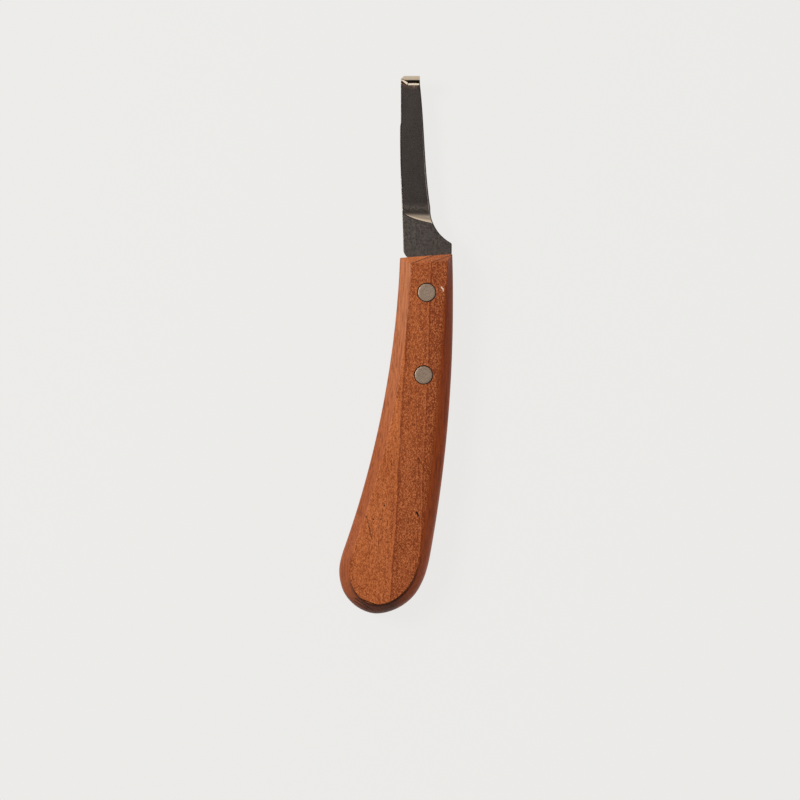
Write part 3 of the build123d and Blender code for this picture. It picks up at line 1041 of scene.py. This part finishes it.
def wood_material():
    """Beech, stained reddish brown, under a thin satin finish, with light and shade painted on its sides, round
    its butt and in its inner creases, and a painted glint.
    """
    s = Shader("stained_beech")
    facing_x, facing_y, _ = s.split(s.facing)
    on_left, on_right = s.ramp(facing_x, -0.3, -0.6), s.ramp(facing_x, 0.3, 0.6)
    on_front, on_butt = s.ramp(facing_y, 0.3, 0.75), s.ramp(facing_y, -0.25, -0.75)
    on_side = s.plus(on_left, on_right)
    grain_seen = s.minus(1.0, s.times(on_side, 0.5))
    # Rises towards the butt, where the painted light and shade on the sides change
    toward_butt = s.ramp(s.y, 30.0, -70.0)

    jagged = s.noise(s.stretch((0.9, 0.8, 0.9)), 2.0, 0.6)
    fibre = s.noise(s.stretch((1.7, 0.08, 1.7)), 5.0, 0.65)
    streak = s.noise(s.stretch((1.9, 0.05, 1.9), (5, 2, 9)), 3.0, 0.6)
    fine = s.noise(s.stretch((6.0, 0.5, 6.0)), 3.0, 0.6)
    blotch = s.noise(s.stretch((0.1, 0.035, 0.1)), 2.0)
    late, line, end_line, before_line, across_board = growth_rings(s, jagged)
    fleck, glint = flecks(s, grain_seen)
    scratch, pit, glint_spot = face_marks(s, jagged)

    layers = [  # where, how strongly and in which colour, in the order in which they lie on each other
        (across_board, 0.72, WOOD_DARK),
        (s.ramp(s.y, -30.0, -95.0), 0.14, WOOD_DARK),
        (s.times(late, grain_seen), 0.5, WOOD_DARK),
        (s.ramp(fibre, 0.42, 0.72), 0.55, WOOD_DARK),
        (fleck, 0.68, FLECK),
        (glint, 0.66, GLINT),
        (s.times(before_line, grain_seen), 0.4, WOOD_PALE),
        (s.times(line, grain_seen), 0.45, WOOD_DARK),
        (s.times(end_line, on_front), 0.9, END_LINE),
        (on_front, 0.06, END_GRAIN),
        # Round the butt, darker: partly end grain taking more stain, partly painted shade on the side turned
        # from the light
        (on_butt, 0.78, BUTT_GRAIN_AND_SHADE),
        # Painted sheen: the left side made paler and greyer, as the light from the left makes it, less so
        # towards the butt
        (on_left, s.minus(0.5, s.times(toward_butt, 0.4)), LEFT_PAINTED_SHEEN),
        # Painted shade: the right side, turned from the light, made redder and deeper
        (on_right, 0.45, RIGHT_SHADED_RED),
        # Painted shade: the left side darker towards the butt, where less light reaches
        (s.times(on_left, toward_butt), 0.48, LEFT_SHADE_TO_BUTT),
        # Painted light: the right side lighter and more orange towards the butt
        (s.times(on_right, toward_butt), 0.22, RIGHT_LIGHT_TO_BUTT),
        (s.ramp(streak, 0.46, 0.64), s.plus(s.times(on_side, 0.4), 0.12), STREAK),
        (scratch, 0.85, SCRATCH),
        # Painted glint: a near-white spot on the upper face
        (glint_spot, 0.85, PAINTED_GLINT_WHITE),
        (pit, 1.0, PIT),
        # Painted shade in the facet's inner corner, round the butt and along the right side
        (s.value("crease"), 0.8, CREASE_SHADE),
    ]
    color = s.mix(s.ramp(blotch, 0.3, 0.7), WOOD_PALE, WOOD_MID)
    for where, strength, tint in layers:
        color = s.mix(s.times(where, strength), color, tint)
    s.set("Base Color", color)
    s.set("Roughness", s.ramp(fine, 0.3, 0.7, 0.36, 0.48))
    s.set("Specular IOR Level", 0.12)
    raised = s.plus(s.times(fibre, 0.5), s.times(fine, 0.3))
    sunk = s.plus(s.times(fleck, 0.4), s.math("MAXIMUM", scratch, s.times(pit, 3.0)))
    s.bump(s.minus(raised, sunk), 0.06 * MM, 0.7)
    return s.material


# Colours of the satin steel, of the steel that the wheel polished, of its dark scale, which also serves as
# painted shade, and of the nickel
SATIN_LIGHT, SATIN_DULL = linear(226, 212, 205), linear(206, 193, 187)
SATIN_MOTTLE, SATIN_GRAIN = linear(150, 136, 131), linear(128, 118, 113)
SATIN_AT_PLUNGE, SCALE = linear(244, 226, 214), linear(40, 35, 31)
POLISHED_LIGHT, POLISHED_DULL = linear(219, 203, 184), linear(198, 180, 158)
NICKEL_LIGHT, NICKEL_DULL = linear(172, 151, 132), linear(142, 122, 106)


def steel_material():
    """Bright satin steel, smoother where polish is 1 and dark where scale is 1: its rolling scale, and painted
    shade at the wheel mark.
    """
    s = Shader("satin_steel")
    polish, scale = s.value("polish"), s.value("scale")
    fine = s.noise(s.stretch((6, 2.2, 6)), 4.0, 0.6)
    mottle = s.noise(s.stretch((1.6, 1.3, 1.6)), 3.0, 0.6)
    cloud = s.noise(s.stretch((0.3, 0.15, 0.3)), 3.0, 0.55)
    satin = s.mix(s.ramp(cloud, 0.3, 0.7), SATIN_LIGHT, SATIN_DULL)
    satin = s.mix(s.ramp(mottle, 0.34, 0.66, 0.0, 0.8), satin, SATIN_MOTTLE)
    satin = s.mix(s.ramp(fine, 0.35, 0.65, 0.0, 0.4), satin, SATIN_GRAIN)
    satin = s.mix(s.ramp(s.y, 49.0, 52.0, 0.7, 0.0), satin, SATIN_AT_PLUNGE)
    polished = s.mix(s.ramp(fine, 0.3, 0.7), POLISHED_LIGHT, POLISHED_DULL)
    s.set("Base Color", s.mix(scale, s.mix(polish, satin, polished), SCALE))
    s.set("Metallic", 1.0)
    s.set("Roughness", s.ramp(polish, 0.0, 1.0, s.ramp(mottle, 0.3, 0.7, 0.27, 0.35), 0.1, smooth=False))
    s.bump(fine, 0.012 * MM, 0.4)
    return s.material


def rivet_material():
    """Nickel-plated rivets with a brushed face."""
    s = Shader("brushed_nickel")
    fine = s.noise(s.stretch((1.7, 1.7, 1.7)), 4.0, 0.6)
    s.set("Metallic", 1.0)
    s.set("Base Color", s.mix(s.ramp(fine, 0.36, 0.64), NICKEL_LIGHT, NICKEL_DULL))
    s.set("Roughness", s.ramp(fine, 0.3, 0.7, 0.5, 0.6))
    s.bump(fine, 0.015 * MM, 0.4)
    return s.material


# ---- stage

VIEW_CENTRE = (-9.78, -25.66)
VIEW_WIDTH = 312.96
CAMERA_DISTANCE = 1000.0
SENSOR = 36.0

FLOOR_SIZE = 6000.0
FLOOR_COLOR = linear(236, 235, 233)
FLOOR_GLOW = 0.957  # the floor shines by itself, so that it is evenly pale
FLOOR_ALBEDO = 0.04  # and returns little of the light on it, so that it shows little shadow

LEFT_WALL, RIGHT_WALL, FAR_WALL = 0.65, 0.32, 0.8
WALL_COLOR = (1.0, 0.96, 0.9)
OVERHEAD = (0.62, 0.89)  # upward part of the directions between which the walls fade out
ROOM_LEVEL = 0.012

# Softboxes: name, place, what it points at, size and power
HOOK_AIM = (-6, 97, 13)
SOFTBOXES = [
    ("key", (-640, 240, 820), (-10, -20, 10), (350, 350), 11.0),
    ("lip_strip", (-6, -563, 548), HOOK_AIM, (150, 90), 0.055),
    ("corner_strip", (-480, -385, 529), HOOK_AIM, (110, 110), 0.036),
]


def add_camera():
    camera = bpy.data.objects.new("camera", bpy.data.cameras.new("camera"))
    bpy.context.scene.collection.objects.link(camera)
    camera.location = Vector((*VIEW_CENTRE, MID_Z + CAMERA_DISTANCE)) * MM
    camera.data.sensor_width = SENSOR
    camera.data.lens = SENSOR * CAMERA_DISTANCE / VIEW_WIDTH
    camera.data.clip_start = 0.01
    camera.data.clip_end = 20.0
    bpy.context.scene.camera = camera


def add_floor():
    corners = [(x * FLOOR_SIZE / 2, y * FLOOR_SIZE / 2, 0) for x, y in ((-1, -1), (1, -1), (1, 1), (-1, 1))]
    floor = build_mesh("floor", corners, [(0, 1, 2, 3)])
    s = Shader("pale_paper")
    s.set("Base Color", (*[FLOOR_ALBEDO * c for c in FLOOR_COLOR], 1))
    s.set("Roughness", 1.0)
    s.set("Specular IOR Level", 0.0)
    s.set("Emission Color", (*FLOOR_COLOR, 1))
    s.set("Emission Strength", FLOOR_GLOW)
    floor.data.materials.append(s.material)


def add_softbox(name, place, aim, size, power):
    light = bpy.data.lights.new(name, "AREA")
    light.shape = "RECTANGLE"
    light.size, light.size_y = size[0] * MM, size[1] * MM
    light.energy = power
    holder = bpy.data.objects.new(name, light)
    bpy.context.scene.collection.objects.link(holder)
    holder.location = Vector(place) * MM
    holder.rotation_euler = (Vector(aim) - Vector(place)).to_track_quat("-Z", "Y").to_euler()


def add_world():
    """Light walls to the left and beyond the blade, a dim one to the right, and a dark ceiling."""
    world = bpy.data.worlds.new("studio")
    bpy.context.scene.world = world
    world.use_nodes = True
    n = Nodes(world.node_tree)
    place = n.tree.nodes.new("ShaderNodeTexCoord")
    x, y, z = n.split(place.outputs["Generated"])
    left = n.times(n.math("MAXIMUM", n.times(x, -1.0), 0.0), LEFT_WALL)
    right = n.times(n.math("MAXIMUM", x, 0.0), RIGHT_WALL)
    walls = n.plus(n.plus(left, right), n.ramp(y, 0.2, 0.75, 0.0, FAR_WALL))
    level = n.plus(n.times(walls, n.minus(1.0, n.ramp(z, *OVERHEAD))), ROOM_LEVEL)
    n.put(n.vector("SCALE", WALL_COLOR, scale=level), n.tree.nodes["Background"].inputs[0])


def main():
    made = [(make_handle(), ["handle"], "wood"), (make_blade(), ["blade"], "blade_steel")]
    for place in RIVETS:
        stud, sleeve = make_rivet(place)
        made.append((stud, [f"{place}_rivet_stud"], "rivet_metal"))
        made.append((sleeve, [f"{place}_rivet_sleeve"], "rivet_metal"))
    materials = {"wood": wood_material(), "blade_steel": steel_material(), "rivet_metal": rivet_material()}
    for piece, nodes, slot in made:
        piece.data.materials.clear()
        piece.data.materials.append(materials[slot])
        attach(piece, "root")
        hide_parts(*nodes)
    add_camera()
    add_floor()
    add_world()
    for softbox in SOFTBOXES:
        add_softbox(*softbox)
    bpy.context.scene.view_settings.view_transform = "Standard"


main()
